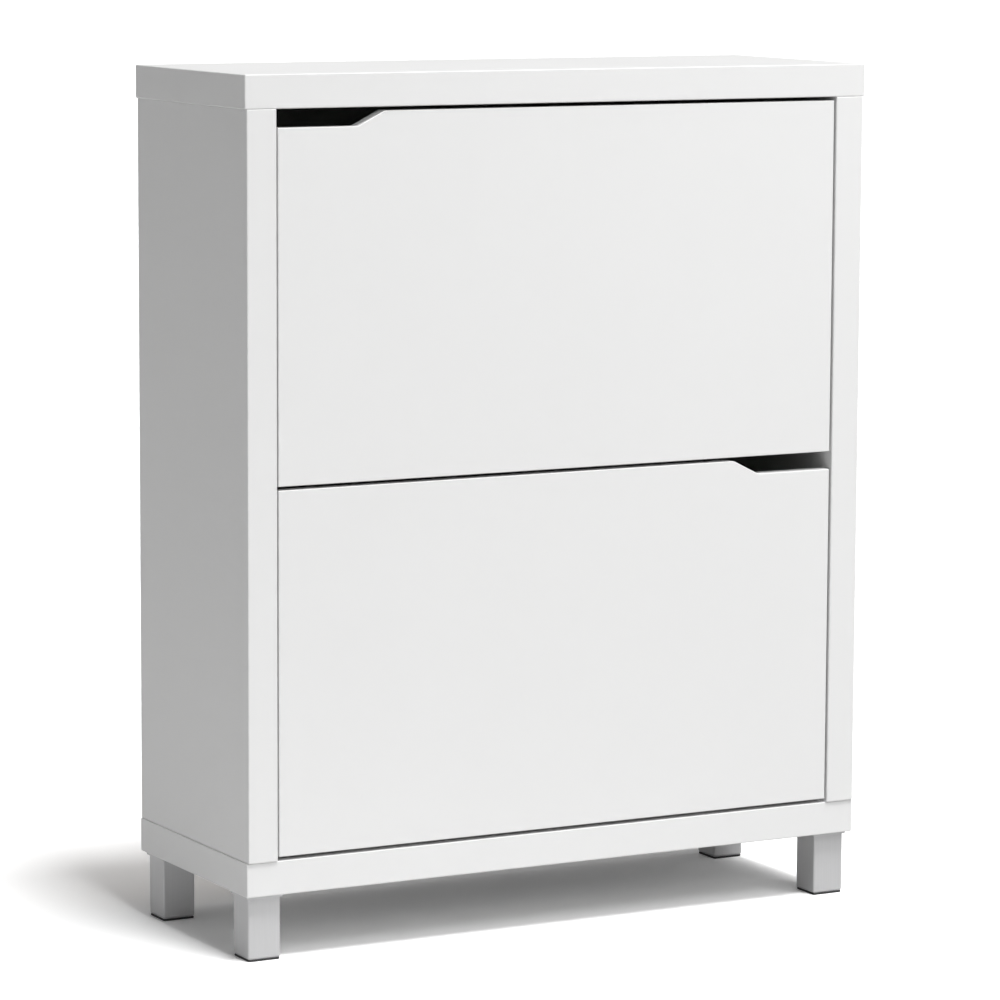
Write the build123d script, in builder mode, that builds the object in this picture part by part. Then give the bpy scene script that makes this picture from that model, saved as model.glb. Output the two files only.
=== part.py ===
"""Two-tier tilt-out shoe cabinet on four square metal legs, millimetres, +Z up.

The origin is the middle of the footprint on the floor. The doors face -Y and +X is to the right.
"""

from build123d import *
from math import cos, degrees, radians, sin
import os

# ---- driving dimensions -------------------------------------------------------------------
WIDTH = 720.0
DEPTH = 265.0
HEIGHT = 890.0
LEG_HEIGHT = 68.0
BASE_THICK = 35.0
CAP_THICK = 34.0
SIDE_THICK = 32.5
CAP_OVERHANG = 2.0
BASE_OVERHANG = 1.0
BASE_SETBACK = 2.0
BACK_THICK = 3.0
PANEL_ROUND = 1.2
HOLE_PLAY = 0.05
DRILL_PLAY = 0.5
BACK_MARGIN = 6.0
BACK_SEAM = 1.0

DOOR_THICK = 16.0
DOOR_RECESS = 1.5
DOOR_GAP = 4.0
DOOR_SIDE_GAP = 2.0
DOOR_ROUND = 0.8
NOTCH_DEPTH = 15.0
NOTCH_FLAT = 88.0
NOTCH_RAMP = 30.0
NOTCH_ROUND = 7.0

PIVOT_SETBACK = 22.0
PIVOT_HEIGHT = 70.0
OPEN_ANGLE = 38.0
PIN_RADIUS = 3.0
PIN_SEAT = 14.0
PIN_COLLAR_RADIUS = 5.5
PIN_PROUD = 1.5
PIN_CHAMFER = 0.5
BUSH_WALL = 1.45
BUSH_FLANGE_RADIUS = 5.7
BUSH_FLANGE = 1.5
STOP_RADIUS = 150.0
STOP_ANGLE = 45.0
PEG_RADIUS = 4.0
PEG_HEAD_RADIUS = 7.0
PEG_HEAD = 2.5
PEG_CHAMFER = 1.0
BUFFER_THICK = 2.75
RUNNING_PLAY = 0.3

BRACKET_GAP = 2.5
BRACKET_THICK = 6.0
# the bracket's outline, each point measured back and up from the pivot
FAN_TOP = (-6.0, 280.0)
FAN_BOTTOM = (-6.0, -60.0)
FAN_HEEL = (197.0, -40.5)
FAN_REAR = (185.5, 97.0)
FAN_REAR_CURVE = (146.0, 184.0)
FAN_SHOULDER = (88.0, 254.0)
FAN_TOP_CURVE = (45.0, 273.0)
FAN_CORNER = 4.0
RIM_WIDTH = 2.5
RIM_DEPTH = 4.0
TABS = ((12.0, 104.0), (134.0, 270.0))
TAB_SCREW_MARGIN = 14.0
TAB_WIDTH = 24.0
TAB_THICK = 3.0
RIB_THICK = 2.5
RIB_DEPTH = 12.0
BOARD_THICK = 9.0
BOARD_ROUND = 0.6
BOARD_PLAY = 0.2
BOARD_FRONT = -5.0
ROW_TILT = 5.5
ROW_BACK = 120.0
REAR_ROW_CORNER = (185.0, -30.0)
FRONT_ROW_CORNER = (88.0, 126.0)

LEG_WIDTH = 36.0
LEG_WALL = 1.5
LEG_CORNER = 1.2
LEG_CHAMFER = 0.8
LEG_INSET_X = 5.5
LEG_INSET_Y = 9.0
PLATE_MARGIN = 2.7
PLATE_THICK = 3.0
GLIDE_THICK = 2.0
GLIDE_MARGIN = 0.5
GLIDE_PLUG = 12.0
STUD_RADIUS = 4.0
STUD_REACH = 22.0
STUD_HEAD = 5.0
STUD_HEAD_RADIUS = 7.5
STUD_HEAD_SIDES = 6
INSERT_WALL = 2.5
INSERT_LENGTH = 16.0

CAM_REACH = 34.0
CAM_RADIUS = 7.4
CAM_DEPTH = 12.0
CAM_BOLT_INSET = 8.0
CAM_CROSS = 1.6
CAM_POCKET_START = 4.5
BOLT_THREAD_RADIUS = 3.0
BOLT_THREAD = 11.0
BOLT_SHAFT_RADIUS = 2.5
BOLT_HEAD_RADIUS = 3.4
BOLT_HEAD_HALF = 1.5
BOLT_NECK = 1.0
BOLT_CHAMFER = 1.0
CAM_Y = (-95.0, 92.0)
DOWEL_RADIUS = 4.0
DOWEL_LENGTH = 30.0
DOWEL_CHAMFER = 0.8
DOWEL_Y = (-62.0, 58.0)
RAIL_THICK = 16.0
RAIL_HEIGHT = 60.0
RAIL_DOWEL_OFFSET = 19.0

SCREW_RADIUS = 1.75
SCREW_HEAD_RADIUS = 3.8
SCREW_HEAD = 2.2
SCREW_LENGTH = 14.0
SCREW_POINT = 2.0
SCREW_CHAMFER = 1.2
NAIL_RADIUS = 0.8
NAIL_HEAD_RADIUS = 2.0
NAIL_HEAD = 0.6
NAIL_LENGTH = 18.0
NAIL_POINT = 1.5
NAIL_COLUMNS = (-240.0, -80.0, 80.0, 240.0)
NAIL_SHARES = (0.15, 0.5, 0.85)
WALL_HOLE_RADIUS = 2.75
WALL_HOLE_X = 250.0
WALL_HOLE_DROP = 23.0
WALL_BRACKET_SIZE = 30.0
WALL_BRACKET_THICK = 2.0
WALL_SCREW_SHARES = (0.35, 0.75)

# ---- derived places -----------------------------------------------------------------------
FRONT = -DEPTH / 2
REAR = DEPTH / 2
CARCASS_REAR = REAR - BACK_THICK
SIDE_OUT = WIDTH / 2 - CAP_OVERHANG
SIDE_IN = SIDE_OUT - SIDE_THICK
BASE_HALF = SIDE_OUT + BASE_OVERHANG
BASE_FRONT = FRONT + BASE_SETBACK
BASE_TOP = LEG_HEIGHT + BASE_THICK
CAP_BOTTOM = HEIGHT - CAP_THICK
MIDDLE = (BASE_TOP + CAP_BOTTOM) / 2

DOOR_HEIGHT = (CAP_BOTTOM - BASE_TOP - 3 * DOOR_GAP) / 2
DOOR_HALF = SIDE_IN - DOOR_SIDE_GAP
DOOR_FRONT = FRONT + DOOR_RECESS
DOOR_BACK = DOOR_FRONT + DOOR_THICK
PIVOT_Y = DOOR_FRONT + PIVOT_SETBACK
DOOR_BOTTOMS = {"lower": BASE_TOP + DOOR_GAP, "upper": BASE_TOP + 2 * DOOR_GAP + DOOR_HEIGHT}
PIVOTS = {tier: bottom + PIVOT_HEIGHT for tier, bottom in DOOR_BOTTOMS.items()}
SIDES = {"left": -1, "right": 1}

BRACKET_OUT = SIDE_IN - BRACKET_GAP
BRACKET_IN = BRACKET_OUT - BRACKET_THICK
DOOR_FACE = DOOR_BACK - PIVOT_Y
BUSH_RADIUS = PIN_RADIUS + HOLE_PLAY + BUSH_WALL
SLOT_HALF = PEG_RADIUS + RUNNING_PLAY
SLOT_OVERRUN = degrees(BUFFER_THICK / STOP_RADIUS)

RAIL_FRONT = CARCASS_REAR - RAIL_THICK
RAIL_MIDDLE = CARCASS_REAR - RAIL_THICK / 2
LEG_X = BASE_HALF - LEG_INSET_X - LEG_WIDTH / 2
LEG_FRONT_Y = BASE_FRONT + LEG_INSET_Y + LEG_WIDTH / 2
LEG_REAR_Y = CARCASS_REAR - LEG_INSET_Y - LEG_WIDTH / 2
TUBE_TOP = LEG_HEIGHT - PLATE_THICK
WALL_HOLE_Z = CAP_BOTTOM - WALL_HOLE_DROP
CENTRED_UP = (Align.CENTER, Align.CENTER, Align.MIN)


def save(part, label):
    """Labels one finished piece and writes its STEP file."""
    part.label = label
    export_step(part, f"parts/{label}.step")


def facing(origin, direction):
    """A plane at origin whose normal points along direction."""
    return Plane(origin=origin, z_dir=direction)


def pivot_plane(x, tier):
    """A plane across X whose own axes measure back (+Y) and up (+Z) from a rack's pivot."""
    return Plane(origin=(x, PIVOT_Y, PIVOTS[tier]), x_dir=(0, 1, 0), z_dir=(1, 0, 0))


def slab(low, high):
    """Adds a plain board between two opposite corners to the part being made."""
    sizes = [abs(b - a) for a, b in zip(low, high)]
    with Locations((Vector(*low) + Vector(*high)) / 2):
        Box(*sizes)


def bore(spots, radius, depth):
    """Cuts one size of round hole at each (point, direction) of the part being made."""
    with Locations([facing(point, way) for point, way in spots]):
        Cylinder(radius, depth, align=CENTRED_UP, mode=Mode.SUBTRACT)


def turned(outline):
    """A turned piece about Z from its half outline, a list of (radius, height) points."""
    with BuildPart() as piece:
        with BuildSketch(Plane.XZ):
            with BuildLine():
                Polyline(*outline, close=True)
            make_face()
        revolve(axis=Axis.Z)
    return piece.part


def copies(solid, spots):
    """One node of equal pieces: the solid placed at each (point, direction)."""
    with BuildPart() as group:
        with Locations([facing(point, way) for point, way in spots]):
            add(solid)
    return group.part


def cam_joints():
    """Each cam joint: the point on the joint, the bolt's direction and the cam's open side."""
    joints = []
    for side in SIDES.values():
        for y in CAM_Y:
            x = side * (SIDE_IN + CAM_BOLT_INSET)
            joints.append(((x, y, CAP_BOTTOM), (0, 0, -1), (-side, 0, 0)))
            joints.append(((x, y, BASE_TOP), (0, 0, 1), (-side, 0, 0)))
        rail_end = (side * SIDE_IN, RAIL_MIDDLE, MIDDLE)
        joints.append((rail_end, (-side, 0, 0), (0, -1, 0)))
    return joints


def cam_mouths():
    """Each cam lock's open face as a plane whose X axis points back along its bolt."""
    planes = []
    for point, bolt_way, open_way in cam_joints():
        centre = Vector(*point) + Vector(*bolt_way) * CAM_REACH
        mouth = centre + Vector(*open_way) * CAM_BOLT_INSET
        planes.append(Plane(origin=mouth, x_dir=-Vector(*bolt_way), z_dir=open_way))
    return planes


def dowel_joints():
    """Each dowel: its middle, on the joint, and its direction."""
    joints = []
    for side in SIDES.values():
        for y in DOWEL_Y:
            x = side * (SIDE_IN + SIDE_THICK / 2)
            joints.append(((x, y, CAP_BOTTOM), (0, 0, 1)))
            joints.append(((x, y, BASE_TOP), (0, 0, 1)))
        for rise in (-RAIL_DOWEL_OFFSET, RAIL_DOWEL_OFFSET):
            joints.append(((side * SIDE_IN, RAIL_MIDDLE, MIDDLE + rise), (1, 0, 0)))
    return joints


def nail_spots():
    """Where the nails hold the two back panels, driven from the rear face."""
    edge_x = SIDE_OUT - SIDE_THICK / 2
    rows = (
        LEG_HEIGHT + BASE_THICK / 2,
        MIDDLE - RAIL_HEIGHT / 4,
        MIDDLE + RAIL_HEIGHT / 4,
        CAP_BOTTOM + CAP_THICK / 2,
    )
    points = [(x, z) for x in NAIL_COLUMNS for z in rows]
    for x in (-edge_x, edge_x):
        for share in NAIL_SHARES:
            points.append((x, BASE_TOP + share * (MIDDLE - BASE_TOP)))
            points.append((x, MIDDLE + share * (CAP_BOTTOM - MIDDLE)))
    return [((x, REAR, z), (0, -1, 0)) for x, z in points]


def wall_hole_spots():
    """The two holes through which the cabinet is fixed to a wall, from the rear face."""
    return [((x, REAR, WALL_HOLE_Z), (0, -1, 0)) for x in (-WALL_HOLE_X, WALL_HOLE_X)]


def wall_bracket_screw_spots():
    """Where the wall brackets are screwed up into the top panel."""
    under = CAP_BOTTOM - WALL_BRACKET_THICK
    rows = [CARCASS_REAR - WALL_BRACKET_SIZE * share for share in WALL_SCREW_SHARES]
    return [((x, y, under), (0, 0, 1)) for x in (-WALL_HOLE_X, WALL_HOLE_X) for y in rows]


def tab_screw_spots(tier):
    """Where a rack's brackets are screwed to its door, from the inner face of the tabs."""
    spots = []
    for side in SIDES.values():
        x = side * (BRACKET_IN - TAB_WIDTH / 2)
        for low, high in TABS:
            for rise in (low + TAB_SCREW_MARGIN, high - TAB_SCREW_MARGIN):
                point = (x, DOOR_BACK + TAB_THICK, PIVOTS[tier] + rise)
                spots.append((point, (0, -1, 0)))
    return spots


def polar(radius, angle):
    """A point measured back and up from a pivot, at an angle from straight back."""
    return (radius * cos(radians(angle)), radius * sin(radians(angle)))


def pivot_spot(side, tier):
    """A rack pivot on the inner face of a side panel, facing out."""
    return ((side * SIDE_IN, PIVOT_Y, PIVOTS[tier]), (side, 0, 0))


def stop_spot(side, tier):
    """A stop peg's place on the inner face of a side panel, facing out."""
    back, up = polar(STOP_RADIUS, STOP_ANGLE)
    return ((side * SIDE_IN, PIVOT_Y + back, PIVOTS[tier] + up), (side, 0, 0))


def leg_places():
    """The four legs: name and place of each one's middle."""
    places = {}
    for depth_name, y in (("front", LEG_FRONT_Y), ("rear", LEG_REAR_Y)):
        for side_name, side in SIDES.items():
            places[f"{depth_name}_{side_name}"] = (side * LEG_X, y)
    return places


def row_boards(corner):
    """One shoe row's floor and back: each board's (middle, length, turn) seen from the side."""
    along = Vector(*polar(1, ROW_TILT))
    up = Vector(*polar(1, ROW_TILT + 90))
    heel = Vector(*corner)
    floor_length = (heel.X - BOARD_FRONT) / along.X - BOARD_THICK / 2 - BOARD_PLAY
    floor_middle = heel - along * (BOARD_THICK / 2 + BOARD_PLAY + floor_length / 2)
    back_length = ROW_BACK + BOARD_THICK / 2
    back_middle = heel + up * (ROW_BACK - BOARD_THICK / 2) / 2
    floor = ((floor_middle.X, floor_middle.Y), floor_length, ROW_TILT)
    back = ((back_middle.X, back_middle.Y), back_length, ROW_TILT + 90)
    return floor, back


REAR_FLOOR, REAR_BACK = row_boards(REAR_ROW_CORNER)
FRONT_FLOOR, FRONT_BACK = row_boards(FRONT_ROW_CORNER)
BOARDS = {
    "rear_row_floor": REAR_FLOOR,
    "rear_row_back": REAR_BACK,
    "front_row_floor": FRONT_FLOOR,
    "front_row_back": FRONT_BACK,
}
SLOT_PATH = CenterArc(
    (0, 0),
    STOP_RADIUS,
    STOP_ANGLE - OPEN_ANGLE - SLOT_OVERRUN,
    OPEN_ANGLE + 2 * SLOT_OVERRUN,
)


def cut_joinery():
    """Cuts the cam, dowel and nail holes where they cross the panel being made."""
    joints = cam_joints()
    bore([(point, way) for point, way, _ in joints], BOLT_HEAD_RADIUS + DRILL_PLAY, CAM_REACH)
    threads = [(point, -Vector(*way)) for point, way, _ in joints]
    bore(threads, BOLT_THREAD_RADIUS + HOLE_PLAY, BOLT_THREAD + DRILL_PLAY)
    cams = [(plane.origin, -plane.z_dir) for plane in cam_mouths()]
    bore(cams, CAM_RADIUS + HOLE_PLAY, CAM_DEPTH + DRILL_PLAY)
    for turn in (1, -1):
        halves = [(point, Vector(*way) * turn) for point, way in dowel_joints()]
        bore(halves, DOWEL_RADIUS + HOLE_PLAY, DOWEL_LENGTH / 2 + DRILL_PLAY)
    bore(nail_spots(), NAIL_RADIUS + HOLE_PLAY, NAIL_LENGTH + DRILL_PLAY)


# ---- carcass ------------------------------------------------------------------------------
with BuildPart() as top_panel:
    slab((-WIDTH / 2, FRONT, CAP_BOTTOM), (WIDTH / 2, CARCASS_REAR, HEIGHT))
    fillet(top_panel.edges(), PANEL_ROUND)
    cut_joinery()
    bore(wall_bracket_screw_spots(), SCREW_RADIUS + HOLE_PLAY, SCREW_LENGTH + DRILL_PLAY)
save(top_panel.part, "top_panel")

with BuildPart() as base_panel:
    slab((-BASE_HALF, BASE_FRONT, LEG_HEIGHT), (BASE_HALF, CARCASS_REAR, BASE_TOP))
    fillet(base_panel.edges(), PANEL_ROUND)
    cut_joinery()
    leg_spots = [((x, y, LEG_HEIGHT), (0, 0, 1)) for x, y in leg_places().values()]
    bore(leg_spots, STUD_RADIUS + INSERT_WALL + 2 * HOLE_PLAY, INSERT_LENGTH)
    bore(leg_spots, STUD_RADIUS + DRILL_PLAY, STUD_REACH + DRILL_PLAY)
save(base_panel.part, "base_panel")

for side_name, side in SIDES.items():
    with BuildPart() as side_panel:
        slab((side * SIDE_IN, FRONT, BASE_TOP), (side * SIDE_OUT, CARCASS_REAR, CAP_BOTTOM))
        outer_face = side_panel.faces().sort_by(Axis.X)[-1 if side > 0 else 0]
        front_face = side_panel.faces().sort_by(Axis.Y)[0]
        shown_edges = outer_face.edges() + front_face.edges()
        fillet(ShapeList(set(shown_edges)), PANEL_ROUND)
        cut_joinery()
        pin_spots = [pivot_spot(side, tier) for tier in PIVOTS]
        peg_spots = [stop_spot(side, tier) for tier in PIVOTS]
        bore(pin_spots + peg_spots, PIN_RADIUS + HOLE_PLAY, PIN_SEAT + DRILL_PLAY)
    save(side_panel.part, f"{side_name}_side_panel")

with BuildPart() as middle_rail:
    rail_low, rail_high = MIDDLE - RAIL_HEIGHT / 2, MIDDLE + RAIL_HEIGHT / 2
    slab((-SIDE_IN, RAIL_FRONT, rail_low), (SIDE_IN, CARCASS_REAR, rail_high))
    cut_joinery()
save(middle_rail.part, "middle_rail")

BACK_SPANS = {
    "lower": (LEG_HEIGHT + BACK_MARGIN, MIDDLE - BACK_SEAM / 2),
    "upper": (MIDDLE + BACK_SEAM / 2, HEIGHT - BACK_MARGIN),
}
for tier, (low, high) in BACK_SPANS.items():
    half = SIDE_OUT - BACK_MARGIN
    with BuildPart() as back_panel:
        slab((-half, CARCASS_REAR, low), (half, REAR, high))
        bore(nail_spots(), NAIL_RADIUS + HOLE_PLAY, NAIL_LENGTH)
        bore(nail_spots(), NAIL_HEAD_RADIUS + HOLE_PLAY, NAIL_HEAD)
        bore(wall_hole_spots(), WALL_HOLE_RADIUS, BACK_THICK)
    save(back_panel.part, f"{tier}_back_panel")

# ---- carcass fasteners --------------------------------------------------------------------
cam_bolt = turned(
    [
        (0, -BOLT_THREAD),
        (BOLT_THREAD_RADIUS - BOLT_CHAMFER, -BOLT_THREAD),
        (BOLT_THREAD_RADIUS, BOLT_CHAMFER - BOLT_THREAD),
        (BOLT_THREAD_RADIUS, 0),
        (BOLT_SHAFT_RADIUS, 0),
        (BOLT_SHAFT_RADIUS, CAM_REACH - BOLT_HEAD_HALF - BOLT_NECK),
        (BOLT_HEAD_RADIUS, CAM_REACH - BOLT_HEAD_HALF),
        (BOLT_HEAD_RADIUS, CAM_REACH + BOLT_HEAD_HALF),
        (BOLT_SHAFT_RADIUS, CAM_REACH + BOLT_HEAD_HALF + BOLT_NECK),
        (0, CAM_REACH + BOLT_HEAD_HALF + BOLT_NECK),
    ]
)
save(copies(cam_bolt, [(point, way) for point, way, _ in cam_joints()]), "cam_bolts")

with BuildPart() as cam_lock:
    with BuildSketch():
        Circle(CAM_RADIUS)
    extrude(amount=-CAM_DEPTH)
    with BuildSketch():
        Rectangle(CAM_RADIUS, CAM_CROSS)
        Rectangle(CAM_CROSS, CAM_RADIUS)
    extrude(amount=-CAM_CROSS, mode=Mode.SUBTRACT)
    with BuildSketch(Plane.YZ.offset(-CAM_POCKET_START)):
        with Locations((0, -CAM_BOLT_INSET)):
            Circle(BOLT_HEAD_RADIUS + DRILL_PLAY)
    extrude(amount=2 * CAM_RADIUS, mode=Mode.SUBTRACT)
with BuildPart() as cam_locks:
    with Locations(cam_mouths()):
        add(cam_lock.part)
save(cam_locks.part, "cam_locks")

dowel = turned(
    [
        (0, -DOWEL_LENGTH / 2),
        (DOWEL_RADIUS - DOWEL_CHAMFER, -DOWEL_LENGTH / 2),
        (DOWEL_RADIUS, DOWEL_CHAMFER - DOWEL_LENGTH / 2),
        (DOWEL_RADIUS, DOWEL_LENGTH / 2 - DOWEL_CHAMFER),
        (DOWEL_RADIUS - DOWEL_CHAMFER, DOWEL_LENGTH / 2),
        (0, DOWEL_LENGTH / 2),
    ]
)
save(copies(dowel, dowel_joints()), "dowels")

nail = turned(
    [
        (0, 0),
        (NAIL_HEAD_RADIUS, 0),
        (NAIL_HEAD_RADIUS, NAIL_HEAD),
        (NAIL_RADIUS, NAIL_HEAD),
        (NAIL_RADIUS, NAIL_LENGTH - NAIL_POINT),
        (0, NAIL_LENGTH),
    ]
)
save(copies(nail, nail_spots()), "back_panel_nails")

screw = turned(
    [
        (0, -SCREW_HEAD),
        (SCREW_HEAD_RADIUS - SCREW_CHAMFER, -SCREW_HEAD),
        (SCREW_HEAD_RADIUS, SCREW_CHAMFER - SCREW_HEAD),
        (SCREW_HEAD_RADIUS, 0),
        (SCREW_RADIUS, 0),
        (SCREW_RADIUS, SCREW_LENGTH - SCREW_POINT),
        (0, SCREW_LENGTH),
    ]
)
save(copies(screw, wall_bracket_screw_spots()), "wall_bracket_screws")

with BuildPart() as wall_brackets:
    for x in (-WALL_HOLE_X, WALL_HOLE_X):
        with BuildSketch(Plane.YZ.offset(x - WALL_BRACKET_SIZE / 2)):
            with BuildLine():
                Polyline(
                    (CARCASS_REAR, CAP_BOTTOM),
                    (CARCASS_REAR - WALL_BRACKET_SIZE, CAP_BOTTOM),
                    (CARCASS_REAR - WALL_BRACKET_SIZE, CAP_BOTTOM - WALL_BRACKET_THICK),
                    (CARCASS_REAR - WALL_BRACKET_THICK, CAP_BOTTOM - WALL_BRACKET_THICK),
                    (CARCASS_REAR - WALL_BRACKET_THICK, CAP_BOTTOM - WALL_BRACKET_SIZE),
                    (CARCASS_REAR, CAP_BOTTOM - WALL_BRACKET_SIZE),
                    close=True,
                )
            make_face()
        extrude(amount=WALL_BRACKET_SIZE)
    bore(wall_hole_spots(), WALL_HOLE_RADIUS, BACK_THICK + WALL_BRACKET_THICK)
    bore(wall_bracket_screw_spots(), SCREW_RADIUS + DRILL_PLAY, WALL_BRACKET_THICK)
save(wall_brackets.part, "wall_brackets")

# ---- legs ---------------------------------------------------------------------------------
for leg_name, (x, y) in leg_places().items():
    with BuildPart() as leg:
        with BuildSketch(Plane.XY.offset(GLIDE_THICK)):
            with Locations((x, y)):
                RectangleRounded(LEG_WIDTH, LEG_WIDTH, LEG_CORNER)
                Rectangle(LEG_WIDTH - 2 * LEG_WALL, LEG_WIDTH - 2 * LEG_WALL, mode=Mode.SUBTRACT)
        extrude(amount=TUBE_TOP - GLIDE_THICK)
        bottom_rim = leg.faces().sort_by(Axis.Z)[0].outer_wire().edges()
        chamfer(bottom_rim, LEG_CHAMFER)
    save(leg.part, f"{leg_name}_leg")

    with BuildPart() as plate:
        plate_width = LEG_WIDTH + 2 * PLATE_MARGIN
        with BuildSketch(Plane.XY.offset(TUBE_TOP)):
            with Locations((x, y)):
                RectangleRounded(plate_width, plate_width, LEG_CORNER)
                Circle(STUD_RADIUS + HOLE_PLAY, mode=Mode.SUBTRACT)
        extrude(amount=PLATE_THICK)
    save(plate.part, f"{leg_name}_leg_plate")

    with BuildPart() as glide:
        glide_width = LEG_WIDTH - 2 * GLIDE_MARGIN
        plug_width = LEG_WIDTH - 2 * LEG_WALL - 2 * HOLE_PLAY
        with BuildSketch():
            with Locations((x, y)):
                RectangleRounded(glide_width, glide_width, LEG_CORNER)
        extrude(amount=GLIDE_THICK)
        with BuildSketch(Plane.XY.offset(GLIDE_THICK)):
            with Locations((x, y)):
                Rectangle(plug_width, plug_width)
        extrude(amount=GLIDE_PLUG)
    save(glide.part, f"{leg_name}_leg_glide")

with BuildPart() as studs:
    with BuildSketch(Plane.XY.offset(TUBE_TOP - STUD_HEAD)):
        with Locations(*leg_places().values()):
            RegularPolygon(STUD_HEAD_RADIUS, STUD_HEAD_SIDES)
    extrude(amount=STUD_HEAD)
    with BuildSketch(Plane.XY.offset(TUBE_TOP)):
        with Locations(*leg_places().values()):
            Circle(STUD_RADIUS)
    extrude(amount=PLATE_THICK + STUD_REACH)
save(studs.part, "leg_studs")

with BuildPart() as inserts:
    with BuildSketch(Plane.XY.offset(LEG_HEIGHT)):
        with Locations(*leg_places().values()):
            Circle(STUD_RADIUS + INSERT_WALL + HOLE_PLAY)
            Circle(STUD_RADIUS + HOLE_PLAY, mode=Mode.SUBTRACT)
    extrude(amount=INSERT_LENGTH)
save(inserts.part, "threaded_inserts")


# ---- tilting racks ------------------------------------------------------------------------
def make_door(tier, notch_side):
    """A door with its finger notch in the top edge, at the left (-1) or the right (+1)."""
    bottom = DOOR_BOTTOMS[tier]
    top = bottom + DOOR_HEIGHT
    flat_end = notch_side * (DOOR_HALF - NOTCH_FLAT)
    ramp_end = notch_side * (DOOR_HALF - NOTCH_FLAT - NOTCH_RAMP)
    edge = notch_side * DOOR_HALF
    back_plane = Plane(origin=(0, DOOR_BACK, 0), x_dir=(1, 0, 0), z_dir=(0, -1, 0))
    with BuildPart() as door:
        with BuildSketch(back_plane):
            with BuildLine():
                FilletPolyline(
                    (edge, top - NOTCH_DEPTH),
                    (flat_end, top - NOTCH_DEPTH),
                    (ramp_end, top),
                    (-edge, top),
                    radius=(NOTCH_ROUND, NOTCH_ROUND),
                )
                Polyline(
                    (-edge, top),
                    (-edge, bottom),
                    (edge, bottom),
                    (edge, top - NOTCH_DEPTH),
                )
            make_face()
        extrude(amount=DOOR_THICK)
        fillet(door.faces().sort_by(Axis.Y)[0].edges(), DOOR_ROUND)
        fillet(door.faces().sort_by(Axis.Y)[-1].edges(), DOOR_ROUND)
        bore(tab_screw_spots(tier), SCREW_RADIUS + HOLE_PLAY, SCREW_LENGTH + DRILL_PLAY)
    return door.part


with BuildSketch() as fan:
    with BuildLine():
        Polyline(FAN_TOP, FAN_BOTTOM, FAN_HEEL, FAN_REAR)
        ThreePointArc(FAN_REAR, FAN_REAR_CURVE, FAN_SHOULDER)
        ThreePointArc(FAN_SHOULDER, FAN_TOP_CURVE, FAN_TOP)
    make_face()
    fillet(fan.vertices(), FAN_CORNER)


def make_bracket(tier, side):
    """A rack's moulded side bracket: rimmed fan plate, board channels, door tabs and stop slot."""
    plate_low = min(side * BRACKET_IN, side * BRACKET_OUT)
    rib_low = min(side * BRACKET_IN, side * (BRACKET_IN - RIB_DEPTH))
    rim_low = min(side * BRACKET_IN, side * (BRACKET_IN - RIM_DEPTH))
    tab_low = min(side * BRACKET_IN, side * (BRACKET_IN - TAB_WIDTH))
    with BuildPart() as bracket:
        with BuildSketch(pivot_plane(plate_low, tier)):
            add(fan.sketch)
            SlotArc(SLOT_PATH, 2 * SLOT_HALF, mode=Mode.SUBTRACT)
        extrude(amount=BRACKET_THICK)
        with BuildSketch(pivot_plane(rim_low, tier)):
            add(fan.sketch)
            offset(fan.face(), -RIM_WIDTH, kind=Kind.INTERSECTION, mode=Mode.SUBTRACT)
        extrude(amount=RIM_DEPTH)
        with BuildSketch(pivot_plane(rib_low, tier)):
            for middle, length, turn in BOARDS.values():
                with Locations(middle):
                    Rectangle(length, BOARD_THICK + 2 * RIB_THICK, rotation=turn)
        extrude(amount=RIB_DEPTH)
        with BuildSketch(pivot_plane(rib_low, tier)):
            for middle, length, turn in BOARDS.values():
                with Locations(middle):
                    Rectangle(length + 2 * BOARD_PLAY, BOARD_THICK + BOARD_PLAY, rotation=turn)
        extrude(amount=RIB_DEPTH, mode=Mode.SUBTRACT)
        for low, high in TABS:
            with BuildSketch(pivot_plane(tab_low, tier)):
                with Locations((DOOR_FACE + TAB_THICK / 2, (low + high) / 2)):
                    Rectangle(TAB_THICK, high - low)
            extrude(amount=TAB_WIDTH)
        pivot = ((side * (BRACKET_IN - RIB_DEPTH), PIVOT_Y, PIVOTS[tier]), (side, 0, 0))
        bore([pivot], BUSH_RADIUS + HOLE_PLAY, RIB_DEPTH + BRACKET_THICK)
        bore([pivot], BUSH_FLANGE_RADIUS + RUNNING_PLAY, RIB_DEPTH)
        bore(tab_screw_spots(tier), SCREW_RADIUS + DRILL_PLAY, TAB_THICK)
    return bracket.part


def make_buffers(tier, side):
    """The two rubber buffers in the ends of a bracket's stop slot."""
    plate_low = min(side * BRACKET_IN, side * BRACKET_OUT)
    ends = (
        (STOP_ANGLE, STOP_ANGLE + SLOT_OVERRUN),
        (STOP_ANGLE - OPEN_ANGLE, STOP_ANGLE - OPEN_ANGLE - SLOT_OVERRUN),
    )
    with BuildPart() as buffers:
        for peg_angle, end_angle in ends:
            with BuildSketch(pivot_plane(plate_low, tier)):
                with Locations(polar(STOP_RADIUS, end_angle)):
                    Circle(SLOT_HALF - HOLE_PLAY)
                with Locations(polar(STOP_RADIUS, peg_angle)):
                    Circle(SLOT_HALF - HOLE_PLAY, mode=Mode.SUBTRACT)
            extrude(amount=BRACKET_THICK)
    return buffers.part


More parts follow.
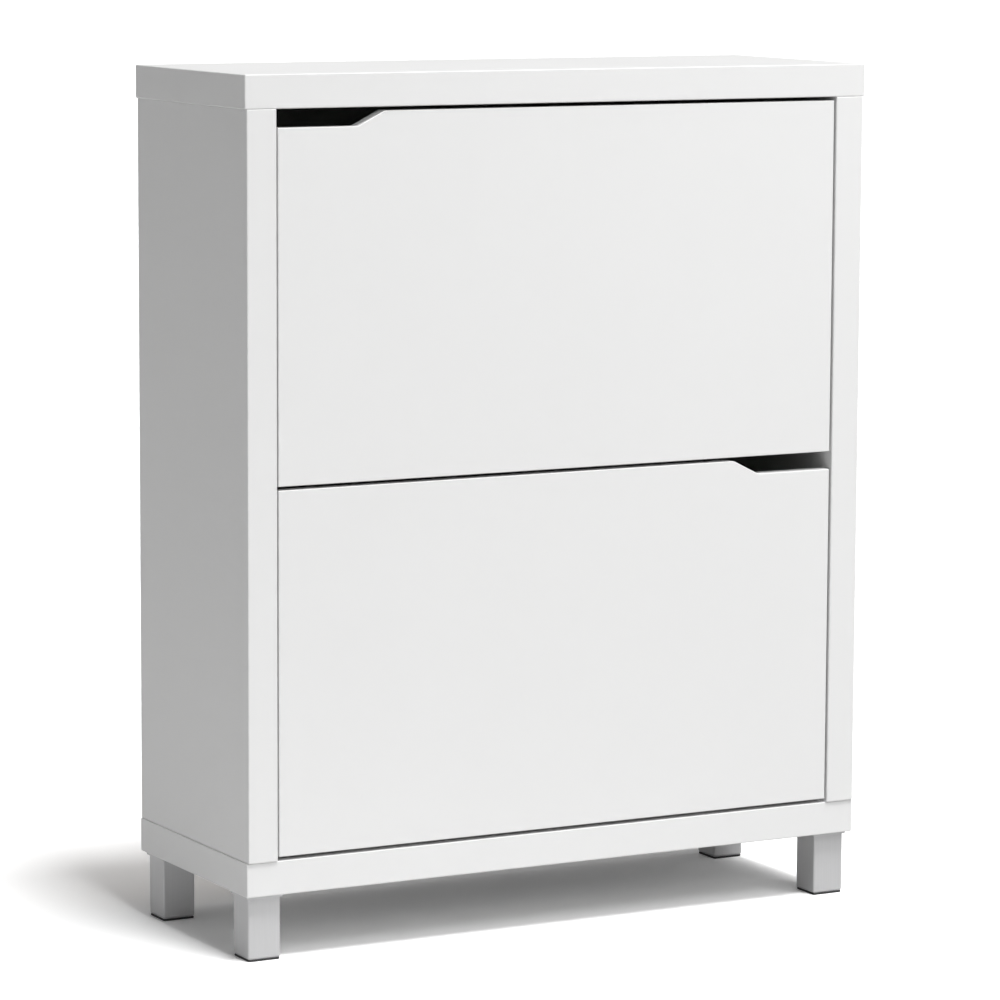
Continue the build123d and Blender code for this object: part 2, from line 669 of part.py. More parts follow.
pivot_bush = turned(
    [
        (PIN_RADIUS + HOLE_PLAY, -BUSH_FLANGE),
        (BUSH_FLANGE_RADIUS, -BUSH_FLANGE),
        (BUSH_FLANGE_RADIUS, 0),
        (BUSH_RADIUS, 0),
        (BUSH_RADIUS, BRACKET_THICK),
        (PIN_RADIUS + HOLE_PLAY, BRACKET_THICK),
    ]
)
COLLAR = BRACKET_GAP - RUNNING_PLAY
PIN_TIP = BRACKET_GAP + BRACKET_THICK + BUSH_FLANGE + PIN_PROUD
pivot_pin = turned(
    [
        (0, -PIN_TIP),
        (PIN_RADIUS - PIN_CHAMFER, -PIN_TIP),
        (PIN_RADIUS, PIN_CHAMFER - PIN_TIP),
        (PIN_RADIUS, -COLLAR),
        (PIN_COLLAR_RADIUS, -COLLAR),
        (PIN_COLLAR_RADIUS, 0),
        (PIN_RADIUS, 0),
        (PIN_RADIUS, PIN_SEAT),
        (0, PIN_SEAT),
    ]
)
HEAD_UNDER = BRACKET_GAP + BRACKET_THICK + RUNNING_PLAY
stop_peg = turned(
    [
        (0, -HEAD_UNDER - PEG_HEAD),
        (PEG_HEAD_RADIUS - PEG_CHAMFER, -HEAD_UNDER - PEG_HEAD),
        (PEG_HEAD_RADIUS, PEG_CHAMFER - HEAD_UNDER - PEG_HEAD),
        (PEG_HEAD_RADIUS, -HEAD_UNDER),
        (PEG_RADIUS, -HEAD_UNDER),
        (PEG_RADIUS, -COLLAR),
        (PEG_HEAD_RADIUS, -COLLAR),
        (PEG_HEAD_RADIUS, 0),
        (PIN_RADIUS, 0),
        (PIN_RADIUS, PIN_SEAT),
        (0, PIN_SEAT),
    ]
)

save(make_door("upper", SIDES["left"]), "upper_door")
save(make_door("lower", SIDES["right"]), "lower_door")

for tier in PIVOTS:
    save(copies(screw, tab_screw_spots(tier)), f"{tier}_rack_screws")
    for board_name, (middle, length, turn) in BOARDS.items():
        half = BRACKET_IN - BOARD_PLAY
        with BuildPart() as board:
            with BuildSketch(pivot_plane(-half, tier)):
                with Locations(middle):
                    Rectangle(length, BOARD_THICK, rotation=turn)
            extrude(amount=2 * half)
            fillet(board.edges().filter_by(Axis.X), BOARD_ROUND)
        save(board.part, f"{tier}_{board_name}")
    for side_name, side in SIDES.items():
        place = f"{tier}_{side_name}"
        bush_spot = ((side * BRACKET_IN, PIVOT_Y, PIVOTS[tier]), (side, 0, 0))
        save(make_bracket(tier, side), f"{place}_bracket")
        save(make_buffers(tier, side), f"{place}_stop_buffers")
        save(copies(pivot_bush, [bush_spot]), f"{place}_pivot_bush")
        save(copies(pivot_pin, [pivot_spot(side, tier)]), f"{place}_pivot_pin")
        save(copies(stop_peg, [stop_spot(side, tier)]), f"{place}_stop_peg")
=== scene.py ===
"""The look of a shoe cabinet with two tilting doors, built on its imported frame.

Every size is in metres. The floor is z 0, the doors face -Y and +X is the right-hand side.
"""

import logging
import math
from collections.abc import Sequence
from dataclasses import dataclass
from enum import Enum
from typing import Any

import bmesh
import bpy
from mathutils import Matrix, Vector


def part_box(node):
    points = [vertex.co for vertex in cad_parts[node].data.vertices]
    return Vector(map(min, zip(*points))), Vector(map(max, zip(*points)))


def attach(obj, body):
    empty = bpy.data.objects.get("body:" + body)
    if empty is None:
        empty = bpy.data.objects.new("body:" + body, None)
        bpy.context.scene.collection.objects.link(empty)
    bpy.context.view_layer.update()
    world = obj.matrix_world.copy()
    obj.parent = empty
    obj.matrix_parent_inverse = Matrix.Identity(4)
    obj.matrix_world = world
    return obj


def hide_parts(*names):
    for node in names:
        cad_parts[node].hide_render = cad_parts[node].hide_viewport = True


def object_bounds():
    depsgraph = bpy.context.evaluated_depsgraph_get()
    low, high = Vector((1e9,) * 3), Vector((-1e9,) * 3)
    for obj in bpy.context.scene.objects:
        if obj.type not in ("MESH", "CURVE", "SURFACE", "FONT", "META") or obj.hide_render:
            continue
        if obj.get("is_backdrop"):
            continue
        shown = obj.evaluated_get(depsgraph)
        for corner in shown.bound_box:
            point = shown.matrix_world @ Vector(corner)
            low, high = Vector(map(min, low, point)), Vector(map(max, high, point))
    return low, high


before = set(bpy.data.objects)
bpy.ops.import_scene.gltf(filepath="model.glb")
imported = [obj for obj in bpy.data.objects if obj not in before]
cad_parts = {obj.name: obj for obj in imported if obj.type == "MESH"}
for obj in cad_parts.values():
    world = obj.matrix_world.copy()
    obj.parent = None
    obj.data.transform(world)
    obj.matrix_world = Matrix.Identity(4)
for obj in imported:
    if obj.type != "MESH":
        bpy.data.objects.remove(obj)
CAD_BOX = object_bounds()
CORNER_STEPS = 6
RECESS_TAPER = 0.55
ARM_TAPER = 0.4
log = logging.getLogger("shoe_cabinet")

Colour = tuple[float, float, float]
Triple = tuple[float, float, float]
Box = tuple[Vector, Vector]


class Tier(Enum):
    """The two racks, one above the other."""

    LOWER = "lower"
    UPPER = "upper"

    @property
    def body(self) -> str:
        """The moving body that this rack is."""
        return f"{self.value}_rack"


class Side(Enum):
    """The two sides of the cabinet, with the way each one faces along X."""

    LEFT = -1
    RIGHT = 1

    @property
    def word(self) -> str:
        """The side's name in node names."""
        return self.name.lower()


class Row(Enum):
    """Front or rear, for legs and for rows of shoes."""

    FRONT = "front"
    REAR = "rear"


class Facing(Enum):
    """Where the head or mouth of a fitting faces."""

    FRONT = (0.0, -1.0, 0.0)
    BACK = (0.0, 1.0, 0.0)
    DOWN = (0.0, 0.0, -1.0)
    LEFT = (-1.0, 0.0, 0.0)
    RIGHT = (1.0, 0.0, 0.0)


# Shader arithmetic


class Value:
    """A shader socket that takes part in arithmetic."""

    def __init__(self, paint: "Paint", socket: bpy.types.NodeSocket) -> None:
        """Keeps the socket and the paint that new nodes join."""
        self.paint, self.socket = paint, socket

    def calc(self, operation: str, *others: "Value | float") -> "Value":
        """Adds a Math node that starts with this value and goes on with others."""
        return self.paint.calc(operation, self, *others)

    def __add__(self, other: "Value | float") -> "Value":
        """This value plus another."""
        return self.calc("ADD", other)

    def __radd__(self, other: float) -> "Value":
        """A number plus this value."""
        return self.paint.calc("ADD", other, self)

    def __sub__(self, other: "Value | float") -> "Value":
        """This value minus another."""
        return self.calc("SUBTRACT", other)

    def __rsub__(self, other: float) -> "Value":
        """A number minus this value."""
        return self.paint.calc("SUBTRACT", other, self)

    def __mul__(self, other: "Value | float") -> "Value":
        """This value times another."""
        return self.calc("MULTIPLY", other)

    def __rmul__(self, other: float) -> "Value":
        """A number times this value."""
        return self.paint.calc("MULTIPLY", other, self)

    def lesser(self, other: "Value | float") -> "Value":
        """The lesser of this value and another."""
        return self.calc("MINIMUM", other)

    def greater(self, other: "Value | float") -> "Value":
        """The greater of this value and another."""
        return self.calc("MAXIMUM", other)

    def rise(self, low: float, high: float) -> "Value":
        """A smooth step from 0 at low to 1 at high."""
        settings = {"interpolation_type": "SMOOTHSTEP"}
        return self.paint.node("ShaderNodeMapRange", settings, {0: self, 1: low, 2: high, 3: 0.0, 4: 1.0})


class Paint:
    """The node tree of one material or world, in the making."""

    def __init__(self, tree: bpy.types.NodeTree) -> None:
        """Starts from an empty tree."""
        self.tree = tree
        tree.nodes.clear()

    def node(
        self,
        kind: str,
        settings: dict[str, Any] | None = None,
        inputs: dict[int | str, Any] | None = None,
        out: int | str = 0,
    ) -> Value | None:
        """Adds one node.

        Args:
            kind: the node's type.
            settings: its own settings, which are set first.
            inputs: the value or link of each socket, by name or number.
            out: the output to return.

        Returns:
            That output, or None for a node without outputs.
        """
        made = self.tree.nodes.new(kind)
        for name, setting in (settings or {}).items():
            setattr(made, name, setting)
        for key, value in (inputs or {}).items():
            if isinstance(value, Value):
                self.tree.links.new(value.socket, made.inputs[key])
            else:
                made.inputs[key].default_value = value
        return Value(self, made.outputs[out]) if len(made.outputs) else None

    def calc(self, operation: str, *values: Value | float) -> Value:
        """Adds a Math node and returns its result."""
        return self.node("ShaderNodeMath", {"operation": operation}, dict(enumerate(values)))

    def place(self) -> Value:
        """Where a point is on the object at rest, in metres."""
        return self.node("ShaderNodeTexCoord", out="Object")

    def facing(self) -> Value:
        """Which way the surface faces, in the object's own frame."""
        return self.node("ShaderNodeTexCoord", out="Normal")

    def split(self, vector: Value) -> tuple[Value, Value, Value]:
        """The three parts of a vector."""
        parts = self.node("ShaderNodeSeparateXYZ", inputs={0: vector})
        return tuple(Value(self, parts.socket.node.outputs[i]) for i in range(3))

    def noise(self, scale: float | Triple, detail: float = 2.0, roughness: float = 0.5) -> Value:
        """Adds noise that is fixed to the object.

        Args:
            scale: cycles in a metre, the same every way or one for each axis.
            detail: how many finer layers it has.
            roughness: how strong the finer layers are.

        Returns:
            The noise, from 0 to 1 with a mean of about a half.
        """
        spread = scale if isinstance(scale, tuple) else (scale,) * 3
        stretched = self.node("ShaderNodeVectorMath", {"operation": "MULTIPLY"}, {0: self.place(), 1: spread})
        inputs = {"Vector": stretched, "Scale": 1.0, "Detail": detail, "Roughness": roughness}
        return self.node("ShaderNodeTexNoise", inputs=inputs)

    def edges(self, box: Box, width: float) -> Value:
        """Finds the edges of a board, from its box.

        Args:
            box: the board's lowest and highest corner.
            width: how far the mask reaches from an edge.

        Returns:
            1 at an edge, falling to 0 at that width.
        """
        gaps = []
        for at, low, high in zip(self.split(self.place()), *box):
            gaps.append((at - low).lesser(high - at))
        first, second, third = gaps
        middle = first.lesser(second).greater(first.greater(second).lesser(third))
        return 1 - middle.rise(0.0, width)

    def mix(self, factor: Value | float, first: Value | Colour, second: Value | Colour) -> Value:
        """Goes from one colour to another by a factor."""
        low, high = (c if isinstance(c, Value) else (*c, 1.0) for c in (first, second))
        return self.node("ShaderNodeMix", {"data_type": "RGBA"}, {0: factor, 6: low, 7: high}, out=2)


def shade(colour: Colour, by: float) -> Colour:
    """A colour made lighter or darker by a share of itself."""
    return tuple(min(1.0, part * (1 + by)) for part in colour)


# Finishes


@dataclass(frozen=True)
class Look:
    """What varies over a surface: its colour, its roughness and its relief."""

    colour: Value
    roughness: Value
    relief: Value


@dataclass(frozen=True)
class Finish:
    """What every finish has. Each kind of finish says how its look varies."""

    name: str
    colour: Colour
    roughness: float
    metallic: float = 0.0
    coat: float = 0.0
    coat_roughness: float = 0.2
    depth: float = 0.0001
    strength: float = 0.3

    def look(self, paint: Paint, box: Box) -> Look:
        """Says how the surface varies. Each kind of finish has its own.

        Args:
            paint: the node tree that it joins.
            box: the piece's lowest and highest corner.

        Returns:
            The look.
        """
        raise NotImplementedError

    def material(self, name: str, box: Box) -> bpy.types.Material:
        """Makes this finish for one piece.

        Args:
            name: the piece's name.
            box: the piece's lowest and highest corner.

        Returns:
            The material.
        """
        made = bpy.data.materials.new(f"{self.name}_{name}")
        made.use_nodes = True
        made.diffuse_color = (*self.colour, 1.0)
        paint = Paint(made.node_tree)
        look = self.look(paint, box)
        bump = {"Strength": self.strength, "Distance": self.depth, "Height": look.relief}
        inputs = {
            "Base Color": look.colour,
            "Roughness": look.roughness,
            "Metallic": self.metallic,
            "Coat Weight": self.coat,
            "Coat Roughness": self.coat_roughness,
            "Normal": paint.node("ShaderNodeBump", inputs=bump),
        }
        shader = paint.node("ShaderNodeBsdfPrincipled", inputs=inputs)
        paint.node("ShaderNodeOutputMaterial", inputs={"Surface": shader})
        return made


@dataclass(frozen=True)
class Lacquer(Finish):
    """Satin lacquer on board: faint orange peel, and edges that handling has polished."""

    edge_width: float = 0.0035
    peel: float = 420.0

    def look(self, paint: Paint, box: Box) -> Look:
        """Clouds the colour a little, greys the edges unevenly and lays on the peel.

        Args:
            paint: the node tree that it joins.
            box: the piece's lowest and highest corner.

        Returns:
            The look.
        """
        cloud = paint.noise(5.0, detail=3.0)
        rubbed = paint.edges(box, self.edge_width) * paint.noise(60.0, 3.0).rise(0.35, 0.7)
        clouded = paint.mix(cloud, shade(self.colour, -0.009), shade(self.colour, 0.009))
        return Look(
            paint.mix(0.5 * rubbed, clouded, shade(self.colour, -0.1)),
            self.roughness + 0.1 * (cloud - 0.5) - 0.1 * rubbed,
            paint.noise(self.peel, 1.0) + 0.5 * paint.noise(90.0, 1.0),
        )


@dataclass(frozen=True)
class Melamine(Finish):
    """Foil on chipboard: fine pearl texture, and a glued band along the edges."""

    band: Colour = (0.7, 0.7, 0.69)
    band_width: float = 0.0007

    def look(self, paint: Paint, box: Box) -> Look:
        """Paints the pearl texture, a few pores, and the line where the band meets the face.

        Args:
            paint: the node tree that it joins.
            box: the piece's lowest and highest corner.

        Returns:
            The look.
        """
        pearl = paint.noise(650.0, 2.0)
        pore = paint.noise(260.0, 2.0).rise(0.62, 0.72)
        joint = paint.edges(box, self.band_width)
        cloud = paint.noise(9.0)
        face = paint.mix(cloud, shade(self.colour, -0.02), shade(self.colour, 0.02))
        return Look(
            paint.mix(joint.greater(0.25 * pore), face, self.band),
            self.roughness + 0.15 * (pearl - 0.5),
            pearl - 0.6 * pore,
        )


@dataclass(frozen=True)
class Hardboard(Finish):
    """Pressed fibre board, painted white on the inside and raw on the outside."""

    raw: Colour = (0.36, 0.25, 0.155)
    fleck: Colour = (0.17, 0.105, 0.06)
    inside: float = -0.5

    def look(self, paint: Paint, box: Box) -> Look:
        """Paints pressed fibres on the raw side and a thin white coat on the inner side.

        Args:
            paint: the node tree that it joins.
            box: the piece's lowest and highest corner; not used here.

        Returns:
            The look.
        """
        fibre = paint.noise((700.0, 700.0, 220.0), 4.0, 0.65)
        cloud = paint.noise(14.0, 3.0)
        dark = fibre.rise(0.54, 0.72) * 0.7
        brown = paint.mix(dark, paint.mix(cloud, shade(self.raw, -0.12), shade(self.raw, 0.12)), self.fleck)
        white = paint.mix(fibre, shade(self.colour, -0.03), self.colour)
        _, facing, _ = paint.split(paint.facing())
        coated = 1 - facing.rise(self.inside - 0.2, self.inside + 0.2)
        return Look(
            paint.mix(coated, brown, white),
            self.roughness - 0.25 * coated + 0.15 * (fibre - 0.5),
            fibre,
        )


@dataclass(frozen=True)
class Brushed(Finish):
    """Satin metal, brushed along its length."""

    grain: Triple = (1400.0, 1400.0, 14.0)
    edge_width: float = 0.0016

    def look(self, paint: Paint, box: Box) -> Look:
        """Draws the brush lines, and paints the edges lighter: part wear to bare metal, part painted
        highlight.

        Args:
            paint: the node tree that it joins.
            box: the piece's lowest and highest corner.

        Returns:
            The look.
        """
        lines = paint.noise(self.grain, 3.0, 0.7)
        cloud = paint.noise(26.0, 2.0)
        # Edges painted lighter: part wear to bare metal, part painted highlight along the rounded edges.
        worn_and_highlit = paint.edges(box, self.edge_width)
        base = paint.mix(lines, shade(self.colour, -0.07), shade(self.colour, 0.07))
        return Look(
            # The lighter edge colour: part worn metal, part painted highlight.
            paint.mix(0.35 * worn_and_highlit, base, shade(self.colour, 0.22)),
            self.roughness + 0.16 * (lines - 0.5) + 0.06 * (cloud - 0.5) - 0.06 * worn_and_highlit,
            lines,
        )


@dataclass(frozen=True)
class Plated(Finish):
    """Plated steel: pale spangle and fine tool marks."""

    spangle: float = 240.0

    def look(self, paint: Paint, box: Box) -> Look:
        """Paints uneven plating, with fine tool marks in the roughness and relief.

        Args:
            paint: the node tree that it joins.
            box: the piece's lowest and highest corner; not used here.

        Returns:
            The look.
        """
        patch = paint.noise(self.spangle, 2.0)
        scratch = paint.noise((90.0, 900.0, 900.0), 3.0, 0.7)
        return Look(
            paint.mix(patch, shade(self.colour, -0.14), shade(self.colour, 0.1)),
            self.roughness + 0.25 * (patch - 0.5) + 0.1 * (scratch - 0.5),
            scratch,
        )


@dataclass(frozen=True)
class Moulded(Finish):
    """Moulded plastic: spark-eroded texture, flow marks and paler edges."""

    texture: float = 1100.0
    edge_width: float = 0.0012

    def look(self, paint: Paint, box: Box) -> Look:
        """Paints the texture, with smooth flow marks and lightly scuffed edges.

        Args:
            paint: the node tree that it joins.
            box: the piece's lowest and highest corner.

        Returns:
            The look.
        """
        spark = paint.noise(self.texture, 2.0, 0.6)
        flow = paint.noise((18.0, 18.0, 45.0), 2.0)
        scuffed = paint.edges(box, self.edge_width) * paint.noise(140.0, 2.0).rise(0.4, 0.7)
        base = paint.mix(flow, shade(self.colour, -0.05), shade(self.colour, 0.05))
        return Look(
            paint.mix(0.4 * scuffed, base, shade(self.colour, 0.35)),
            self.roughness + 0.12 * (spark - 0.5) + 0.08 * (flow - 0.5),
            spark,
        )


@dataclass(frozen=True)
class Beech(Finish):
    """Turned beech: pale wood with short dark rays."""

    ray: Colour = (0.36, 0.2, 0.1)

    def look(self, paint: Paint, box: Box) -> Look:
        """Paints soft growth bands and the rays between them.

        Args:
            paint: the node tree that it joins.
            box: the piece's lowest and highest corner; not used here.

        Returns:
            The look.
        """
        bands = paint.noise((420.0, 420.0, 60.0), 3.0)
        rays = paint.noise((1500.0, 1500.0, 260.0), 2.0).rise(0.62, 0.74)
        wood = paint.mix(bands, shade(self.colour, -0.12), shade(self.colour, 0.08))
        return Look(
            paint.mix(0.6 * rays, wood, self.ray),
            self.roughness + 0.1 * (bands - 0.5),
            bands - 0.4 * rays,
        )


WHITE_LACQUER = Lacquer(
    "white_lacquer", (0.8, 0.8, 0.797), 0.42, coat=0.12, coat_roughness=0.3, strength=0.06
)
WHITE_BOARD = Melamine("white_board", (0.78, 0.78, 0.77), 0.5, strength=0.12)
BACK_BOARD = Hardboard("back_board", (0.74, 0.74, 0.725), 0.75, strength=0.25)
SATIN_ALUMINIUM = Brushed("satin_aluminium", (0.63, 0.63, 0.635), 0.46, metallic=0.4, strength=0.12)
PLATE_STEEL = Brushed(
    "plate_steel", (0.6, 0.6, 0.605), 0.4, metallic=0.6, grain=(30.0, 1100.0, 1100.0), strength=0.1
)
BLACK_PLASTIC = Moulded("black_plastic", (0.035, 0.035, 0.036), 0.5, strength=0.35)
GREY_PLASTIC = Moulded("grey_plastic", (0.3, 0.305, 0.31), 0.52, strength=0.3)
WHITE_PLASTIC = Moulded("white_plastic", (0.72, 0.72, 0.7), 0.38, strength=0.15)
RUBBER = Moulded("rubber", (0.028, 0.028, 0.028), 0.8, texture=700.0, strength=0.4)
BEECH_WOOD = Beech("beech", (0.62, 0.42, 0.26), 0.6, strength=0.3)
BRASS = Plated("brass_insert", (0.72, 0.53, 0.25), 0.32, metallic=1.0, strength=0.15)
ZINC_STEEL = Plated("zinc_steel", (0.68, 0.69, 0.7), 0.3, metallic=0.95, strength=0.15)


def dress(node: str, finish: Finish) -> None:
    """Gives a CAD node its finish.

    Args:
        node: the node's name.
        finish: what it is finished with.
    """
    material = finish.material(node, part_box(node))
    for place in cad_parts[node].material_slots:
        place.material = material
    log.info("%s: %s", node, finish.name)


# Mesh making


class Shape:
    """A mesh in the making, with its points where they belong on the object."""

    def __init__(self) -> None:
        """Starts empty."""
        self.mesh = bmesh.new()

    def skin(self, rings: Sequence[Sequence[Vector]], closed: bool = False) -> "Shape":
        """Joins rings of points into a surface.

        Args:
            rings: rings with equal numbers of points.
            closed: whether the last ring joins the first; otherwise both are filled.

        Returns:
            This shape.
        """
        rows = [[self.mesh.verts.new(point) for point in ring] for ring in rings]
        pairs = list(zip(rows, rows[1:] + rows[:1])) if closed else list(zip(rows, rows[1:]))
        for lower, upper in pairs:
            for i in range(len(lower)):
                j = (i + 1) % len(lower)
                self.mesh.faces.new((lower[i], lower[j], upper[j], upper[i]))
        if not closed:
            self.mesh.faces.new(list(reversed(rows[0])))
            self.mesh.faces.new(rows[-1])
        bmesh.ops.recalc_face_normals(self.mesh, faces=self.mesh.faces)
        return self

    def minus(self, cutter: "Shape") -> "Shape":
        """Cuts another shape out of this one.

        Args:
            cutter: the shape to cut out, which may stand past this one.

        Returns:
            What is left.
        """
        tool, body = cutter.as_object("cutter"), self.as_object("blank")
        cut = body.modifiers.new("cut", "BOOLEAN")
        cut.operation, cut.solver, cut.object = "DIFFERENCE", "EXACT", tool
        graph = bpy.context.evaluated_depsgraph_get()
        result = bpy.data.meshes.new_from_object(body.evaluated_get(graph))
        made = Shape()
        made.mesh.from_mesh(result)
        for spare in (body, tool):
            mesh = spare.data
            bpy.data.objects.remove(spare)
            bpy.data.meshes.remove(mesh)
        bpy.data.meshes.remove(result)
        return made

    def copies(self, places: Sequence[Matrix]) -> "Shape":
        """Sets this shape down at several places.

        Args:
            places: where each copy goes.

        Returns:
            All the copies, as one shape.
        """
        pattern = bpy.data.meshes.new("pattern")
        self.mesh.to_mesh(pattern)
        made = Shape()
        for place in places:
            pattern.transform(place)
            made.mesh.from_mesh(pattern)
            pattern.transform(place.inverted())
        bpy.data.meshes.remove(pattern)
        return made

    def as_object(self, name: str) -> bpy.types.Object:
        """Makes an object of this shape and adds it to the scene.

        Args:
            name: the object's name.

        Returns:
            The object.
        """
        mesh = bpy.data.meshes.new(name)
        self.mesh.to_mesh(mesh)
        made = bpy.data.objects.new(name, mesh)
        bpy.context.scene.collection.objects.link(made)
        return made

    def piece(self, node: str, body: str, finish: Finish, sharp: float = 32.0) -> None:
        """Turns this shape into the piece that stands for a CAD node.

        Args:
            node: the node that it stands for.
            body: the body that it moves with.
            finish: what it is finished with.
            sharp: the angle above which an edge stays sharp, in degrees.
        """
        made = self.as_object(f"{node}_made")
        made.data.shade_smooth()
        made.data.set_sharp_from_angle(angle=math.radians(sharp))
        weighted = made.modifiers.new("weighted", "WEIGHTED_NORMAL")
        weighted.keep_sharp = True
        made.data.materials.append(finish.material(node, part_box(node)))
        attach(made, body)
        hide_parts(node)
        log.info("%s: %d faces, %s", made.name, len(made.data.polygons), finish.name)


def square_ring(centre: Vector, half: float, corner: float, z: float) -> list[Vector]:
    """A level square with round corners.

    Args:
        centre: the middle of the square.
        half: half its width.
        corner: the radius of its corners.
        z: its height.

    Returns:
        Its points, counterclockwise from above.
    """
    points = []
    for quarter in range(4):
        turn = math.pi / 2 * quarter
        out = Vector((half - corner, half - corner, 0.0))
        middle = Vector((centre.x, centre.y, z)) + Matrix.Rotation(turn, 3, "Z") @ out
        for step in range(CORNER_STEPS + 1):
            angle = turn + math.pi / 2 * step / CORNER_STEPS
            points.append(middle + corner * Vector((math.cos(angle), math.sin(angle), 0.0)))
    return points


def round_ring(centre: Vector, radius: float, z: float, count: int, start: float = 0.0) -> list[Vector]:
    """A level circle of points, counterclockwise from above."""
    angles = [start + math.tau * i / count for i in range(count)]
    return [Vector((centre.x + radius * math.cos(a), centre.y + radius * math.sin(a), z)) for a in angles]


def turned(outline: Sequence[tuple[float, float]], count: int) -> Shape:
    """A turned blank whose axis is Z, from its radii and heights."""
    return Shape().skin([round_ring(Vector(), radius, z, count) for radius, z in outline])


def cross_tool(reach: float, width: float, depth: float, above: float) -> Shape:
    """The tapered cross that cuts a recess from z 0 down.

    Args:
        reach: the length of each arm from the middle.
        width: the width of an arm.
        depth: how deep the recess goes.
        above: how far the tool stands over the face.

    Returns:
        The tool.
    """
    rings = []
    for z, scale in ((-depth, RECESS_TAPER), (0.0, 1.0), (above, 1.0)):
        long, half = reach * scale, width / 2 * (1 - ARM_TAPER * (1 - scale))
        corner = [Vector((long, -half, z)), Vector((long, half, z)), Vector((half, half, z))]
        rings.append([Matrix.Rotation(math.pi / 2 * i, 3, "Z") @ point for i in range(4) for point in corner])
    return Shape().skin(rings)


def pose_at(place: Triple, facing: Facing, spin: float = 0.0) -> Matrix:
    """Puts a fitting made with its face up at a place, facing a way, turned by spin degrees."""
    turn = Vector((0.0, 0.0, 1.0)).rotation_difference(Vector(facing.value)).to_matrix().to_4x4()
    return Matrix.Translation(Vector(place)) @ turn @ Matrix.Rotation(math.radians(spin), 4, "Z")


# The cabinet


@dataclass(frozen=True)
class Carcass:
    """The boards that stand still: cap, base, sides, rail and nailed backs."""

    lacquer: Lacquer = WHITE_LACQUER

    def build(self) -> None:
        """Dresses each board."""
        for node in ("top_panel", "base_panel", "left_side_panel", "right_side_panel"):
            dress(node, self.lacquer)
        dress("middle_rail", WHITE_BOARD)
        for tier in Tier:
            dress(f"{tier.value}_back_panel", BACK_BOARD)
        dress("back_panel_nails", ZINC_STEEL)


@dataclass(frozen=True)
class Foot:
    """One leg: a square tube with rolled lower edge, its plate above and its glide below.

    The bevel and the shoulder are shares of the rounding that they belong to.
    """

    side: Side
    row: Row
    corner: float = 0.0022
    wall: float = 0.0015
    roll: tuple[tuple[float, float], ...] = (
        (0.0046, 0.0),
        (0.0034, 0.0003),
        (0.0024, 0.0009),
        (0.0019, 0.0017),
    )
    lip: float = 0.0004
    lip_height: float = 0.002
    plate_corner: float = 0.003
    plate_round: float = 0.0005
    stud_hole: float = 0.0041
    glide_corner: float = 0.002
    glide_least_corner: float = 0.0006
    glide_round: float = 0.0009
    glide_hollow: float = 0.0008
    glide_rim: float = 0.005
    glide_slope: float = 0.001
    plug_gap: float = 0.0014
    plug_taper: float = 0.001
    bevel: float = 0.3
    shoulder: float = 0.4

    @property
    def node(self) -> str:
        """The leg's node name."""
        return f"{self.row.value}_{self.side.word}_leg"

    def build(self) -> None:
        """Makes the leg, the plate and the glide."""
        self.build_leg()
        self.build_plate()
        self.build_glide()

    def build_leg(self) -> None:
        """Makes the tube, whose lower edge is rolled in over the glide."""
        low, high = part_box(self.node)
        centre, half = (low + high) / 2, (high.x - low.x) / 2
        outside = [(high.z, 0.0)] + [(low.z + up - self.roll[-1][0], inset) for up, inset in self.roll]
        rings = [square_ring(centre, half - inset, self.corner - inset / 2, z) for z, inset in outside]
        inner, radius = half - self.wall, self.corner - self.wall / 2
        rings.append(square_ring(centre, inner - self.lip, radius, low.z))
        rings.append(square_ring(centre, inner, radius, low.z + self.lip_height))
        rings.append(square_ring(centre, inner, radius, high.z))
        Shape().skin(rings, closed=True).piece(self.node, "cabinet", SATIN_ALUMINIUM)

    def build_plate(self) -> None:
        """Makes the plate between leg and base, with a hole for the stud."""
        node = f"{self.node}_plate"
        low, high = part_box(node)
        centre, half = (low + high) / 2, (high.x - low.x) / 2
        soft, part = self.plate_round, self.plate_round * self.bevel
        edge = ((low.z, soft), (low.z + part, part), (low.z + soft, 0.0))
        edge += ((high.z - soft, 0.0), (high.z - part, part), (high.z, soft))
        rings = [square_ring(centre, half - inset, self.plate_corner - inset, z) for z, inset in edge]
        count = len(rings[0])
        start = math.pi / 4 - math.tau * (CORNER_STEPS / 2) / count
        rings.append(round_ring(centre, self.stud_hole, high.z, count, start))
        rings.append(round_ring(centre, self.stud_hole, low.z, count, start))
        Shape().skin(rings, closed=True).piece(node, "cabinet", PLATE_STEEL)

    def build_glide(self) -> None:
        """Makes the glide, with a hollow under it and a plug that fills the tube."""
        node = f"{self.node}_glide"
        low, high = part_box(node)
        centre, half = (low + high) / 2, (high.x - low.x) / 2
        tube_low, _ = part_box(self.node)
        soft, rim, pad = self.glide_round, self.glide_rim, tube_low.z
        part, shoulder = soft * self.bevel, soft * self.shoulder
        outline = [
            (low.z + self.glide_hollow, rim + self.glide_slope),
            (low.z, rim),
            (low.z, soft),
            (low.z + part, part),
            (low.z + soft, 0.0),
            (pad - shoulder, 0.0),
            (pad, shoulder),
            (pad, self.plug_gap),
            (high.z - self.plug_taper, self.plug_gap),
            (high.z, self.plug_gap + self.plug_taper),
        ]
        rings = []
        for z, inset in outline:
            corner = max(self.glide_least_corner, self.glide_corner - inset / 3)
            rings.append(square_ring(centre, half - inset, corner, z))
        Shape().skin(rings).piece(node, "cabinet", BLACK_PLASTIC)


